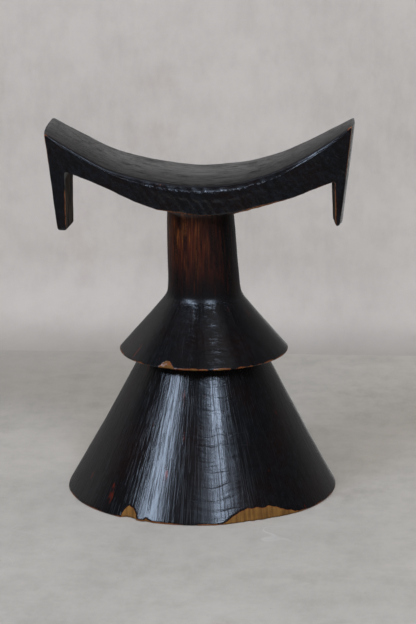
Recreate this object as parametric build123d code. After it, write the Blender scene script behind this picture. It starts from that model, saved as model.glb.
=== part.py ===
from build123d import *
import os

# A neck rest carved from one block of wood, 178 mm tall, in millimetres, +Z up.
# It stands on the flat rim of a hollowed cone. Above the cone come an overhanging skirt, a
# round stem and a dished saddle, whose two ends turn down in flaps.
# Origin: the middle of the footprint, on the surface that it stands on.
# +X runs along the saddle towards its right end, and -Y is the front.
# Each carved member is one solid, and neighbours meet face to face inside the wood.

# ---- base cone ---------------------------------------------------------------------------
RIM_RADIUS = 64.2                # outermost radius, just above the foot
RIM_ROUNDING = 1.4               # the foot's outer edge is rubbed away by this much
CONE_MIDDLE = (45.3, 35.0)       # (radius, height) half-way up: the side is faintly hollow
CONE_TOP_RADIUS = 28.9           # where the cone runs in under the skirt
SKIRT_UNDERSIDE = 67.0           # height of the step between cone and skirt
HOLLOW_RIM_RADIUS = 54.5         # inner radius of the foot
HOLLOW_MIDDLE = (38.3, 27.0)     # (radius, height) on the hollow's domed wall
HOLLOW_DEPTH = 42.0

# ---- skirt -------------------------------------------------------------------------------
SKIRT_RADIUS = 39.9
SKIRT_LIP_RADIUS = 39.2          # the lip leans in a little towards its underside
SKIRT_LIP_HEIGHT = 1.9
SKIRT_MIDDLE = (29.1, 80.0)      # (radius, height)
SKIRT_TOP_RADIUS = 18.3
SKIRT_TOP = 94.0
SKIRT_OFFSET = 1.4               # the skirt stands this far to the right of the cone's axis

# ---- stem --------------------------------------------------------------------------------
# (height, radius, offset to the right) of the sections, the last of them inside the saddle
STEM_SECTIONS = [
    (SKIRT_TOP, SKIRT_TOP_RADIUS, SKIRT_OFFSET),
    (98.5, 17.3, 1.5),
    (105.0, 16.6, 1.3),
    (114.0, 16.3, 0.9),
    (124.0, 16.0, 0.5),
    (146.0, 15.7, 0.0),
]

# ---- saddle ------------------------------------------------------------------------------
# (x, z) along the dished top, end to end: the left half is a little shallower
DISH = [
    (-71.4, 174.2),
    (-57.0, 166.4),
    (-43.0, 159.3),
    (-22.0, 153.4),
    (0.0, 151.3),
    (22.0, 153.5),
    (37.5, 158.5),
    (51.0, 165.1),
    (71.4, 177.4),
]
# (x, half depth) of the outline from above, which bows out in the middle
HALF_DEPTHS = [(-71.4, 19.4), (-36.0, 23.1), (0.0, 24.4), (36.0, 22.6), (71.4, 15.2)]
BELLY = 136.8                    # the underside's lowest point, over the stem
LEFT_SHOULDER = (-18.0, 139.4)   # where the belly turns into the rising underside
RIGHT_SHOULDER = (20.0, 138.4)
TOP_ROUNDING = 0.8               # the dish's two long edges are rubbed away by this much

# ---- end flaps, each with an outer face that runs on from the saddle's end ----------------
LEFT_ROOT = (-61.4, 156.4)       # (x, z) where the inner face meets the underside
LEFT_OUTER_CORNER = (-64.1, 124.0)   # lowest corner, at the back
LEFT_SKEW = 0.0                  # how much thinner the flap is in front than at the back
RIGHT_ROOT = (61.4, 152.5)
RIGHT_OUTER_CORNER = (65.5, 127.0)
RIGHT_SKEW = 3.0
FLAP_FRONT_LIFT = 5.3            # the lower edge is this much higher in front

THROUGH = 200.0                  # longer than anything that is cut


# ---- turned-looking members ---------------------------------------------------------------
def base_cone():
    with BuildPart() as body:
        with BuildSketch(Plane.XZ):
            with BuildLine():
                rim = (RIM_RADIUS, RIM_ROUNDING)
                shoulder = (CONE_TOP_RADIUS, SKIRT_UNDERSIDE)
                ThreePointArc((0, HOLLOW_DEPTH), HOLLOW_MIDDLE, (HOLLOW_RIM_RADIUS, 0))
                Polyline((HOLLOW_RIM_RADIUS, 0), (RIM_RADIUS - RIM_ROUNDING, 0), rim)
                ThreePointArc(rim, CONE_MIDDLE, shoulder)
                Polyline(shoulder, (0, SKIRT_UNDERSIDE), (0, HOLLOW_DEPTH))
            make_face()
        revolve(axis=Axis.Z)
    return body.part


def upper_skirt():
    with BuildPart() as body:
        with BuildSketch(Plane.XZ):
            with BuildLine():
                lip_top = (SKIRT_RADIUS, SKIRT_UNDERSIDE + SKIRT_LIP_HEIGHT)
                neck = (SKIRT_TOP_RADIUS, SKIRT_TOP)
                Polyline((0, SKIRT_UNDERSIDE), (SKIRT_LIP_RADIUS, SKIRT_UNDERSIDE), lip_top)
                ThreePointArc(lip_top, SKIRT_MIDDLE, neck)
                Polyline(neck, (0, SKIRT_TOP), (0, SKIRT_UNDERSIDE))
            make_face()
        revolve(axis=Axis.Z)
    return Location((SKIRT_OFFSET, 0, 0)) * body.part


def stem(saddle_solid):
    """The round stem, which ends on the saddle's underside."""
    with BuildPart() as body:
        for height, radius, offset in STEM_SECTIONS:
            with BuildSketch(Plane.XY.offset(height)):
                with Locations((offset, 0)):
                    Circle(radius)
        loft()
    pieces = (body.part - saddle_solid).solids()
    return pieces.sort_by(Axis.Z)[0]


# ---- saddle and flaps ---------------------------------------------------------------------
def outer_x(tip, corner, z):
    """x at height z on the straight outer face from the saddle's tip to the flap's corner."""
    return corner[0] + (tip[0] - corner[0]) * (z - corner[1]) / (tip[1] - corner[1])


def seen_from_above():
    """A tall prism with the saddle's outline from above: bowed sides and square ends."""
    front = [(x, -half) for x, half in HALF_DEPTHS]
    back = [(x, half) for x, half in HALF_DEPTHS]
    with BuildPart() as prism:
        with BuildSketch():
            with BuildLine():
                Spline(front)
                Spline(back)
                Line(front[0], back[0])
                Line(front[-1], back[-1])
            make_face()
        extrude(amount=THROUGH)
    return prism.part


def saddle():
    left_tip, right_tip = DISH[0], DISH[-1]
    left_end = (outer_x(left_tip, LEFT_OUTER_CORNER, LEFT_ROOT[1]), LEFT_ROOT[1])
    right_end = (outer_x(right_tip, RIGHT_OUTER_CORNER, RIGHT_ROOT[1]), RIGHT_ROOT[1])
    with BuildPart() as slab:
        with BuildSketch(Plane.XZ):
            with BuildLine():
                Spline(DISH)
                Polyline(right_tip, right_end, RIGHT_ROOT, RIGHT_SHOULDER)
                ThreePointArc(RIGHT_SHOULDER, (0, BELLY), LEFT_SHOULDER)
                Polyline(LEFT_SHOULDER, LEFT_ROOT, left_end, left_tip)
            make_face()
        extrude(amount=THROUGH / 2, both=True)
    body = slab.part & seen_from_above()
    dish_face = body.faces().filter_by(GeomType.PLANE, reverse=True).sort_by(Axis.Z)[-1]
    long_edges = dish_face.edges().sort_by(SortBy.LENGTH)[-2:]
    return body.chamfer(TOP_ROUNDING, None, long_edges)


def flap(tip, root, corner, skew):
    """One down-turned end: a wedge under the saddle's end, thinner and shorter in front."""
    half_depth = dict(HALF_DEPTHS)[tip[0]]
    inwards = -1 if tip[0] > 0 else 1
    with BuildPart() as wedge:
        with BuildSketch(Plane.XZ):
            with BuildLine():
                root_outer = (outer_x(tip, corner, root[1]), root[1])
                Polyline(root_outer, root, (root[0], corner[1]), corner, close=True)
            make_face()
        extrude(amount=THROUGH / 2, both=True)
    body = wedge.part & seen_from_above()
    lower_edge = Plane(
        origin=(corner[0], half_depth, corner[1]),
        z_dir=(0, FLAP_FRONT_LIFT, 2 * half_depth),
    )
    body = split(body, bisect_by=lower_edge, keep=Keep.TOP)
    if skew:
        inner_face = Plane(
            origin=(root[0], half_depth, root[1]),
            z_dir=(-inwards * 2 * half_depth, skew, 0),
        )
        body = split(body, bisect_by=inner_face, keep=Keep.TOP)
    return body


# ---- all of it ----------------------------------------------------------------------------
saddle_solid = saddle()
members = {
    "base_cone": base_cone(),
    "upper_skirt": upper_skirt(),
    "stem": stem(saddle_solid),
    "saddle": saddle_solid,
    "left_end_flap": flap(DISH[0], LEFT_ROOT, LEFT_OUTER_CORNER, LEFT_SKEW),
    "right_end_flap": flap(DISH[-1], RIGHT_ROOT, RIGHT_OUTER_CORNER, RIGHT_SKEW),
}

os.makedirs("parts", exist_ok=True)
for name, solid in members.items():
    export_step(solid, f"parts/{name}.step")
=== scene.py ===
import math

import bmesh
import bpy
import numpy as np
from mathutils import Euler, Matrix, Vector


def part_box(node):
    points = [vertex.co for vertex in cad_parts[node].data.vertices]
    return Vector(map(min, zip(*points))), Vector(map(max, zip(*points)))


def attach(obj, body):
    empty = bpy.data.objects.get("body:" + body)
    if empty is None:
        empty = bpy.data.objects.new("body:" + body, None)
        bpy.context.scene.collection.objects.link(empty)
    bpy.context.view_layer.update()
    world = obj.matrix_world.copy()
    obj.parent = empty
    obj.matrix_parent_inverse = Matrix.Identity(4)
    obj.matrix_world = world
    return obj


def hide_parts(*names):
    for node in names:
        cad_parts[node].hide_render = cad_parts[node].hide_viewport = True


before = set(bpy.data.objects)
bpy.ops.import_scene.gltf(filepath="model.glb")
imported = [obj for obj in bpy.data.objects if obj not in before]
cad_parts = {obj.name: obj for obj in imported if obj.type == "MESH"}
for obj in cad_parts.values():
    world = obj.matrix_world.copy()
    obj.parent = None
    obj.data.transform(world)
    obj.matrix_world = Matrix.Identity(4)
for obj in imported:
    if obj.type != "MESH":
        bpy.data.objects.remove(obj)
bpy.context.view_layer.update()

# A carved neck rest: a hollowed cone foot, an overhanging skirt, a round stem and a dished
# saddle whose ends turn down in flaps, all one block of wood, blackened and polished by use.
# Shapes are worked out in millimetres in the frame's axes (+X right, -Y front, +Z up) and
# are turned into metres when a mesh is made. A bearing is an angle round the stem, in
# degrees, measured from the front towards the right.

MM = 0.001
BODY = "root"


def node_box(node):
    """Lowest and highest corner of a CAD member, in millimetres."""
    low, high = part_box(node)
    return np.array(low) / MM, np.array(high) / MM


# ---- node trees ---------------------------------------------------------------------------
class Wire:
    """A socket of a node tree. Sums and products of wires add Math nodes to their tree."""

    def __init__(self, tree, socket):
        self.tree = tree
        self.socket = socket

    def node(self, kind, settings=None, sockets=None, out=0):
        """Adds a node with these settings and socket values or links. Returns its output."""
        made = self.tree.nodes.new(kind)
        for name, value in (settings or {}).items():
            setattr(made, name, value)
        for key, value in (sockets or {}).items():
            if isinstance(value, Wire):
                self.tree.links.new(value.socket, made.inputs[key])
            else:
                made.inputs[key].default_value = value
        return Wire(self.tree, made.outputs[out] if made.outputs else None)

    def out(self, name):
        """Another output of the same node."""
        return Wire(self.tree, self.socket.node.outputs[name])

    def math(self, operation, *values):
        return self.node("ShaderNodeMath", {"operation": operation}, dict(enumerate(values)))

    def vector(self, operation, *values):
        return self.node("ShaderNodeVectorMath", {"operation": operation}, dict(enumerate(values)))

    def scaled(self, factor):
        return self.node("ShaderNodeVectorMath", {"operation": "SCALE"}, {0: self, "Scale": factor})

    def __add__(self, other):
        return self.math("ADD", self, other)

    def __radd__(self, other):
        return self.math("ADD", other, self)

    def __sub__(self, other):
        return self.math("SUBTRACT", self, other)

    def __rsub__(self, other):
        return self.math("SUBTRACT", other, self)

    def __mul__(self, other):
        return self.math("MULTIPLY", self, other)

    def __rmul__(self, other):
        return self.math("MULTIPLY", other, self)

    def __truediv__(self, other):
        return self.math("DIVIDE", self, other)

    def __rtruediv__(self, other):
        return self.math("DIVIDE", other, self)

    def __mod__(self, other):
        return self.math("FLOORED_MODULO", self, other)

    def floor(self):
        return self.math("FLOOR", self)

    def larger(self, other):
        return self.math("MAXIMUM", self, other)

    def between(self, low, high, start=0.0, end=1.0):
        """Goes smoothly from start to end as this value goes from low to high."""
        sockets = {"Value": self, "From Min": low, "From Max": high}
        sockets.update({"To Min": start, "To Max": end})
        return self.node("ShaderNodeMapRange", {"interpolation_type": "SMOOTHSTEP"}, sockets)

    def parts(self):
        split = self.node("ShaderNodeSeparateXYZ", None, {0: self})
        return split, split.out("Y"), split.out("Z")

    def vector_of(self, x, y, z):
        return self.node("ShaderNodeCombineXYZ", None, {0: x, 1: y, 2: z})

    def noise(self, scale, detail=2.0, roughness=0.5):
        """Noise at this place, from 0 to 1."""
        sockets = {"Vector": self, "Scale": scale, "Detail": detail, "Roughness": roughness}
        return self.node("ShaderNodeTexNoise", None, sockets)

    def blend(self, first, second):
        """The first colour where this value is 0, the second where it is 1."""
        settings = {"data_type": "RGBA"}
        return self.node("ShaderNodeMix", settings, {0: self, 6: first, 7: second}, out=2)


# ---- materials ----------------------------------------------------------------------------
SOOT = (0.0054, 0.0054, 0.0061, 1)
SMOKED_BROWN = (0.0090, 0.0050, 0.0045, 1)
BLUE_BLOOM = (0.0098, 0.0108, 0.0142, 1)
# the next colour is a painted sheen, laid on the saddle's upward faces
TOP_SHEEN_GREY = (0.0165, 0.0125, 0.0110, 1)
DUSTY_BROWN = (0.075, 0.046, 0.026, 1)
OX_RED = (0.11, 0.012, 0.005, 1)
BARE_WOOD = (0.27, 0.135, 0.036, 1)
BARE_DARK = (0.10, 0.044, 0.014, 1)
RUBBED_RED = (0.20, 0.058, 0.016, 1)
STEM_DARK = (0.0125, 0.0055, 0.0048, 1)
STEM_RED = (0.049, 0.0098, 0.0050, 1)
STEM_AMBER = (0.215, 0.061, 0.0108, 1)

RINGS_TO_A_MM = 0.19            # of height, scored round the foot
RING_FRONT = (0.242, -0.970)    # the way that their middle faces, in x and y
SHADED_SIDE = (0.94, 0.34)       # the side of the stem painted black as shade, away from the windows, likewise
AMBER_SIDE = (-0.86, -0.50)     # and the side that hands have rubbed through to amber


def new_material(name):
    """An empty node material, with the wire that starts its tree."""
    material = bpy.data.materials.new(name)
    material.use_nodes = True
    tree = material.node_tree
    tree.nodes.clear()
    return material, Wire(tree, None)


def stored(start, name):
    """A value from 0 to 1 that is stored on the mesh."""
    return start.node("ShaderNodeAttribute", {"attribute_name": name}, out="Fac")


def place_in_mm(start):
    return start.node("ShaderNodeTexCoord", out="Object").scaled(1 / MM)


def round_coordinates(start):
    """Place in millimetres, the way out from the stem as x and y, and the height."""
    place = place_in_mm(start)
    x, y, z = place.parts()
    turn_x, turn_y, _ = start.vector("NORMALIZE", start.vector_of(x, y, 0.0)).parts()
    return place, (turn_x, turn_y), z


def facing(turn, way):
    """1 where the wall faces this way, -1 where it faces the other."""
    return turn[0] * way[0] + turn[1] * way[1]


def round_noise(turn, z, around, upright, detail=2.0, roughness=0.5):
    """Noise with this many changes to a radian round the stem and to a millimetre upwards."""
    place = z.vector_of(turn[0] * around, turn[1] * around, z * upright)
    return place.noise(1.0, detail, roughness)


def long_noise(place_parts, rates, detail, roughness):
    """Noise with this many changes to a millimetre along x, y and z."""
    scaled = [part * rate for part, rate in zip(place_parts, rates)]
    return scaled[0].vector_of(*scaled).noise(1.0, detail, roughness)


def finish_material(start, color, roughness, height, worn, bump_depth):
    """Closes a material: polish where it has stayed, dull raw wood where it is worn off."""
    sockets = {"Strength": 1.0, "Distance": bump_depth * MM, "Height": height}
    bump = start.node("ShaderNodeBump", None, sockets)
    sockets = {"Base Color": color, "Roughness": roughness, "IOR": 1.5, "Normal": bump}
    polish = start.node("ShaderNodeBsdfPrincipled", None, sockets)
    sockets = {"Base Color": color, "Roughness": 0.85, "Specular IOR Level": 0.12, "Normal": bump}
    raw = start.node("ShaderNodeBsdfPrincipled", None, sockets)
    surface = start.node("ShaderNodeMixShader", None, {0: worn, 1: polish, 2: raw})
    start.node("ShaderNodeOutputMaterial", None, {"Surface": surface})


def worn_wood(place, streaks):
    """Bare wood where the black has come off: ochre, with darker fibres and patches."""
    fibres = streaks.between(0.36, 0.62)
    patches = place.noise(0.22, 3.0).between(0.35, 0.7)
    ochre = (0.25 + fibres * 0.75).blend(BARE_DARK, BARE_WOOD)
    return (patches * 0.4).blend(ochre, BARE_DARK)


def rubbed(start, color, place, streaks):
    """Lays bare wood over a colour where the member's bare attribute says it is worn off."""
    ragged = stored(start, "bare") + (place.noise(1.3, 4.0, 0.65) - 0.5) * 0.55
    edge = ragged.between(0.28, 0.46)
    core = ragged.between(0.45, 0.62)
    return core.blend(edge.blend(color, RUBBED_RED), worn_wood(place, streaks)), core


def smoked_black(place, patches):
    """Soot that smoke has browned in patches, with so many of them to a millimetre."""
    return place.noise(patches, 3.0).between(0.35, 0.75).blend(SOOT, SMOKED_BROWN)


def turned_patina():
    """Black polish on the foot and skirt: upright scraper marks, fine rings, red spots."""
    material, start = new_material("black_polish_turned")
    place, turn, z = round_coordinates(start)
    on_foot = z.between(64.0, 70.0, 1.0, 0.0)
    in_front = facing(turn, RING_FRONT).between(0.90, 0.985)
    streaks = round_noise(turn, z, 38.0, 0.034, 3.0, 0.6)
    grooves = round_noise(turn, z, 90.0, 0.07, 2.0, 0.6).between(0.48, 0.66)
    grit = place.noise(0.9, 3.0, 0.7)
    dull = round_noise(turn, z, 4.0, 0.06, 4.0, 0.65)

    # rings scored round the front, a little bowed, unevenly spaced and broken up
    bowed = z + round_noise(turn, z, 2.0, 0.01) * 7.0 + round_noise(turn, z, 1.6, 0.12) * 7.0
    turns = bowed * RINGS_TO_A_MM
    line = start.math("ABSOLUTE", turns - turns.floor() - 0.5).between(0.0, 0.065, 1.0, 0.0)
    patchy = place.noise(0.10, 4.0, 0.6).between(0.36, 0.64)
    broken = round_noise(turn, z, 4.0, 0.30, 3.0, 0.6).between(0.40, 0.58)
    rings = line * in_front * (0.2 + patchy * 0.8) * broken * (0.15 + on_foot * 0.85)
    wide_rings = round_noise(turn, bowed, 2.2, 0.27, 3.0, 0.62)
    fine_rings = round_noise(turn, bowed, 3.0, 0.7, 3.0, 0.65)

    bloom = place.noise(0.28, 5.0, 0.7).between(0.44, 0.66)
    spots = round_noise(turn, z, 11.0, 0.066, 3.0, 0.6).between(0.67, 0.74)
    color = (bloom * 0.5).blend(smoked_black(place, 0.045), BLUE_BLOOM)
    color = spots.blend(color, OX_RED)
    color, worn = rubbed(start, color, place, streaks)
    color = (worn * (1.0 - on_foot) * 0.6).blend(color, BARE_DARK)

    scuffed = in_front * z.between(5.0, 55.0, 1.0, 0.0)
    roughness = 0.075 + dull * 0.12 + grooves * (0.10 + on_foot * 0.08) + grit * 0.05 + scuffed * 0.06
    roughness = roughness + rings * 0.13 + stored(start, "sheltered") * 0.45
    height = streaks * (0.12 + on_foot * 0.24) * (1.0 - in_front * 0.5)
    height = height - grooves * 0.11 * (1.0 - in_front * 0.6)
    height = height - rings * (0.12 + on_foot * 0.12) + grit * 0.19
    height = height + wide_rings * in_front * (1.3 + on_foot * 0.3)
    height = height + fine_rings * in_front * (1.0 - on_foot) * 1.3
    finish_material(start, color, roughness, height, worn, bump_depth=0.16)
    return material


def saddle_patina():
    """Black polish on the saddle and flaps: grain that runs along it, short tool marks, and a painted
    grey sheen on the faces that look up.
    """
    material, start = new_material("black_polish_saddle")
    place = place_in_mm(start)
    parts = place.parts()
    x, y, z = parts
    upward, sheltered = stored(start, "upward"), stored(start, "sheltered")
    facing_up = upward.between(0.45, 0.85)
    on_edge = upward.between(0.10, 0.30)
    grain = long_noise(parts, (0.026, 0.50, 0.50), 4.0, 0.65)
    fibres = long_noise(parts, (0.045, 1.5, 1.5), 3.0, 0.6)
    pores = (grain * 0.5 + fibres * 0.5).between(0.50, 0.66)
    smudge = place.noise(0.10, 4.0, 0.6).between(0.52, 0.70)
    nicks = start.vector_of(x * 0.55 + z * 0.3, y * 0.2, z * 0.22).noise(1.0, 3.0, 0.7)
    bloom = start.vector_of(x * 0.50 + z * 0.22, y * 0.2, z * 0.42).noise(1.0, 5.0, 0.72)
    raw_streaks = long_noise(parts, (0.3, 0.24, 0.035), 3.0, 0.7).between(0.40, 0.60)
    grit = place.noise(0.55, 4.0, 0.7)

    color = (bloom.between(0.44, 0.62) * 0.9).blend(smoked_black(place, 0.05), BLUE_BLOOM)
    # painted sheen: faces that look up are mixed towards a lighter grey
    color = (facing_up * 0.6).blend(color, TOP_SHEEN_GREY)
    color = (facing_up * pores * 0.8).blend(color, SOOT)
    color = (sheltered * 1.4 * raw_streaks).blend(color, DUSTY_BROWN)
    color, worn = rubbed(start, color, place, fibres)
    worn = worn.larger(sheltered * 1.2 * (1.0 - raw_streaks * 0.4))

    roughness = 0.115 + grit * 0.10 + facing_up * (0.14 + pores * 0.28 + smudge * 0.12)
    roughness = roughness + sheltered * 0.5 + facing_up * y.between(-24.0, 14.0, 0.22, 0.0)
    roughness = roughness - on_edge * (1.0 - facing_up) * 0.04
    height = grain * (0.25 + facing_up * 0.75) - pores * facing_up * 0.48
    height = height + grit * (0.60 - on_edge * 0.40) + nicks * (1.0 - on_edge) * 1.7
    finish_material(start, color, roughness, height, worn, bump_depth=0.20)
    return material


def stem_polish():
    """Handled red-brown wood with upright amber streaks, darker low down, with a painted shadow under
    the saddle and painted shade to the right and behind.
    """
    material, start = new_material("handled_stem")
    place, turn, z = round_coordinates(start)
    streaks = round_noise(turn, z, 11.0, 0.06, 5.0, 0.65)
    lines = round_noise(turn, z, 19.5, 0.078, 3.0, 0.6)
    patches = round_noise(turn, z, 1.8, 0.07, 4.0, 0.65)
    grit = place.noise(0.9, 3.0, 0.7)
    amber = lines.between(0.43, 0.68) * (patches.between(0.34, 0.58) * 0.7 + 0.3)
    amber = amber * z.between(102.0, 126.0, 0.07, 1.0)
    amber = amber * (0.08 + facing(turn, AMBER_SIDE).between(-0.1, 1.0) * 0.92)
    above_skirt = z - SKIRT_TOP
    low = above_skirt.between(1.0, 26.0, 0.95, 0.0)
    # painted shadow under the saddle's overhang
    under = z.between(131.5, 138.0, 0.0, 0.7)
    # painted shade on the side away from the windows
    shade = facing(turn, SHADED_SIDE).between(-0.30, 0.50, 0.0, 0.92)
    # the darker foot of the stem and both painted shades, laid in black over the wood
    darkened_and_shaded = low.larger(under).larger(shade)
    red_runs = lines.between(0.52, 0.62) * above_skirt.between(1.0, 6.0)

    color = streaks.between(0.36, 0.60).blend(STEM_DARK, STEM_RED)
    color = amber.blend(color, STEM_AMBER)
    color = (patches.between(0.52, 0.68) * 0.7).blend(color, STEM_DARK)
    color = (darkened_and_shaded * (1.0 - red_runs * 0.5)).blend(color, SOOT)
    color, worn = rubbed(start, color, place, streaks)
    roughness = 0.20 + streaks * 0.12 + grit * 0.06
    height = streaks * 0.55 + lines * 0.3 + grit * 0.14
    finish_material(start, color, roughness, height, worn, bump_depth=0.12)
    return material


# ---- meshes -------------------------------------------------------------------------------
def link(name, mesh):
    piece = bpy.data.objects.new(name, mesh)
    bpy.context.scene.collection.objects.link(piece)
    return piece


def points_of(mesh):
    """The mesh's points in millimetres, one row each."""
    flat = np.zeros(len(mesh.vertices) * 3)
    mesh.vertices.foreach_get("co", flat)
    return flat.reshape(-1, 3) / MM


def set_points(mesh, points):
    mesh.vertices.foreach_set("co", (points * MM).ravel())
    mesh.update()


def normals_of(mesh):
    """The normals of the mesh's points, one row each."""
    flat = np.zeros(len(mesh.vertices) * 3)
    mesh.vertices.foreach_get("normal", flat)
    return flat.reshape(-1, 3)


def radius_of(points):
    """Distance from the upright axis."""
    return np.hypot(points[:, 0], points[:, 1])


def pushed_out(points, radius, amount):
    """Points at these distances from the upright axis, moved away from it by an amount each."""
    moved = points.copy()
    moved[:, :2] *= (1 + amount / np.maximum(radius, 1e-6))[:, None]
    return moved


def set_wear(mesh, bare, sheltered, upward=0.0):
    """Stores on each point, from 0 to 1: worn to bare wood, sheltered, and facing upward."""
    upward = upward + np.zeros(len(mesh.vertices))
    for name, values in (("bare", bare), ("sheltered", sheltered), ("upward", upward)):
        layer = mesh.attributes.new(name, "FLOAT", "POINT")
        layer.data.foreach_set("value", np.clip(values, 0, 1).astype(np.float32))


def smooth_step(value, low, high):
    t = np.clip((value - low) / (high - low), 0.0, 1.0)
    return t * t * (3 - 2 * t)


def bump_at(value, centre, half_width):
    """1 at the centre, falling smoothly to 0 at the half width."""
    t = np.clip(np.abs(value - centre) / half_width, 0.0, 1.0)
    return (1 - t * t) ** 2


def waves(points, size, seed, count=14):
    """A smooth, seeded unevenness of about this size in millimetres, from -1 to 1."""
    rng = np.random.default_rng(seed)
    total = np.zeros(len(points))
    for _ in range(count):
        direction = rng.normal(size=3)
        direction *= rng.uniform(0.6, 1.6) / (size * np.linalg.norm(direction))
        total += np.sin(points @ direction * math.pi + rng.uniform(0, 2 * math.pi))
    return total / math.sqrt(count)


def bearing_of(points):
    """Angle round the upright axis, in degrees, from the front towards the right."""
    return np.degrees(np.arctan2(points[:, 0], -points[:, 1]))


def cut_out(mesh, chosen, name, turned=0.0):
    """A copy of the chosen faces, its openings closed by flat caps, shaded as the whole is.

    turned is added to the normals, for an edge that is worn to look another way.
    """
    normals = normals_of(mesh) + turned
    normals /= np.linalg.norm(normals, axis=1)[:, None]
    build = bmesh.new()
    build.from_mesh(mesh)
    source = build.verts.layers.int.new("source")
    for vert in build.verts:
        vert[source] = vert.index
    build.faces.ensure_lookup_table()
    doomed = [face for face, kept in zip(build.faces, chosen) if not kept]
    bmesh.ops.delete(build, geom=doomed, context="FACES")
    open_edges = [edge for edge in build.edges if edge.is_boundary]
    for cap in bmesh.ops.holes_fill(build, edges=open_edges, sides=0)["faces"]:
        cap.smooth = False
    part = bpy.data.meshes.new(name)
    build.to_mesh(part)
    build.free()
    for material in mesh.materials:
        part.materials.append(material)
    indices = np.zeros(len(part.vertices), np.int32)
    part.attributes["source"].data.foreach_get("value", indices)
    part.attributes.remove(part.attributes["source"])
    corners = np.zeros(len(part.loops), np.int32)
    part.loops.foreach_get("vertex_index", corners)
    shading = normals[indices[corners]]
    for face in part.polygons:
        if not face.use_smooth:
            shading[face.loop_start:face.loop_start + face.loop_total] = face.normal
    part.normals_split_custom_set(shading.tolist())
    return part


def face_heights(mesh):
    """Height of each face's middle, in millimetres."""
    centres = np.zeros(len(mesh.polygons) * 3)
    mesh.polygons.foreach_get("center", centres)
    return centres.reshape(-1, 3)[:, 2] / MM


# ---- turned members: one node tree makes both ----------------------------------------------
def turned_tree():
    """Node tree: a chain of points, radius in x and height in z, is turned round the axis."""
    tree = bpy.data.node_groups.new("turned_member", "GeometryNodeTree")
    face = tree.interface
    face.new_socket("Chain", in_out="INPUT", socket_type="NodeSocketGeometry")
    for name, kind, value in (
        ("Segments", "NodeSocketInt", 720),
        ("Out of round", "NodeSocketFloat", 0.2),
        ("Patch size", "NodeSocketFloat", 30.0),
        ("Dent depth", "NodeSocketFloat", 0.1),
        ("Dent size", "NodeSocketFloat", 10.0),
        ("Scraper depth", "NodeSocketFloat", 0.05),
        ("Scraper marks", "NodeSocketFloat", 80.0),
        ("Seed", "NodeSocketFloat", 1.0),
        ("Polish", "NodeSocketMaterial", None),
    ):
        socket = face.new_socket(name, in_out="INPUT", socket_type=kind)
        if value is not None:
            socket.default_value = value
    face.new_socket("Member", in_out="OUTPUT", socket_type="NodeSocketGeometry")

    given = Wire(tree, None).node("NodeGroupInput", out="Chain")
    rows = given.node("GeometryNodeAttributeDomainSize", None, {"Geometry": given}, out="Point Count")
    segments = given.out("Segments")
    sockets = {"Vertices X": segments + 1, "Vertices Y": rows}
    grid = given.node("GeometryNodeMeshGrid", None, sockets, out="Mesh")
    index = given.node("GeometryNodeInputIndex")
    row = index % rows
    column = (index / rows).floor()
    sockets = {"Geometry": given, "Value": given.node("GeometryNodeInputPosition"), "Index": row}
    sampled = given.node("GeometryNodeSampleIndex", {"data_type": "FLOAT_VECTOR"}, sockets)
    radius, _, height = sampled.parts()
    angle = (column % segments) / segments * (2 * math.pi)
    sine, cosine = given.math("SINE", angle), given.math("COSINE", angle)

    seed = given.out("Seed")
    place = given.vector_of(radius * cosine, radius * sine, height)

    def unevenness(where, scale, seed_step, detail):
        """Seeded noise at a place, from about -0.5 to 0.5."""
        sockets = {"Vector": where, "W": seed + seed_step, "Scale": scale, "Detail": detail}
        return where.node("ShaderNodeTexNoise", {"noise_dimensions": "4D"}, sockets) - 0.5

    patches = unevenness(place, (1 / MM) / given.out("Patch size"), 0.0, 1.0)
    dents = unevenness(place, (1 / MM) / given.out("Dent size"), 3.0, 1.0)
    # scraper marks run straight down the slope, so they are laid out by angle, not by place
    per_radian = given.out("Scraper marks") / (2 * math.pi)
    slope_place = given.vector_of(cosine * per_radian, sine * per_radian, height * (0.045 / MM))
    marks = unevenness(slope_place, 1.0, 7.0, 2.0)
    shift = patches * given.out("Out of round") + dents * given.out("Dent depth")
    shift = shift + marks * given.out("Scraper depth")
    off_axis = radius.between(0.0, 12.0 * MM)
    worked = radius + shift * off_axis * (2 * MM)
    turned = given.vector_of(worked * cosine, worked * sine, height)
    moved = given.node("GeometryNodeSetPosition", None, {"Geometry": grid, "Position": turned})
    sockets = {"Geometry": moved, "Distance": 0.002 * MM}
    closed = given.node("GeometryNodeMergeByDistance", None, sockets)
    smooth = given.node("GeometryNodeSetShadeSmooth", None, {"Geometry": closed})
    real = given.node("GeometryNodeRealizeInstances", None, {"Geometry": smooth})
    sockets = {"Geometry": real, "Material": given.out("Polish")}
    done = given.node("GeometryNodeSetMaterial", None, sockets)
    given.node("NodeGroupOutput", None, {"Member": done})
    return tree


def bake(name, mesh, tree, **inputs):
    """Runs a geometry node tree on a mesh with these inputs and returns the plain result."""
    holder = link(name, mesh)
    modifier = holder.modifiers.new("tree", "NODES")
    modifier.node_group = tree
    identifiers = {s.name: s.identifier for s in tree.interface.items_tree if s.in_out == "INPUT"}
    for title, value in inputs.items():
        modifier[identifiers[title.replace("_", " ")]] = value
    graph = bpy.context.evaluated_depsgraph_get()
    result = bpy.data.meshes.new_from_object(holder.evaluated_get(graph))
    holder.modifiers.remove(modifier)
    bpy.data.objects.remove(holder)
    result.name = name
    return result


def chain(points):
    """A mesh of single points, from (radius, height) pairs in millimetres."""
    mesh = bpy.data.meshes.new("chain")
    mesh.from_pydata([(r * MM, 0, z * MM) for r, z in points], [], [])
    return mesh


def run(start, end, steps):
    """Points along a straight line, without its end."""
    (r0, z0), (r1, z1) = start, end
    return [(r0 + (r1 - r0) * i / steps, z0 + (z1 - z0) * i / steps) for i in range(steps)]


def quarter(centre, radius, from_angle, to_angle, steps):
    """Points along an arc, in degrees, without its end."""
    angles = np.radians(np.linspace(from_angle, to_angle, steps, endpoint=False))
    return [(centre[0] + radius * math.cos(a), centre[1] + radius * math.sin(a)) for a in angles]


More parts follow.
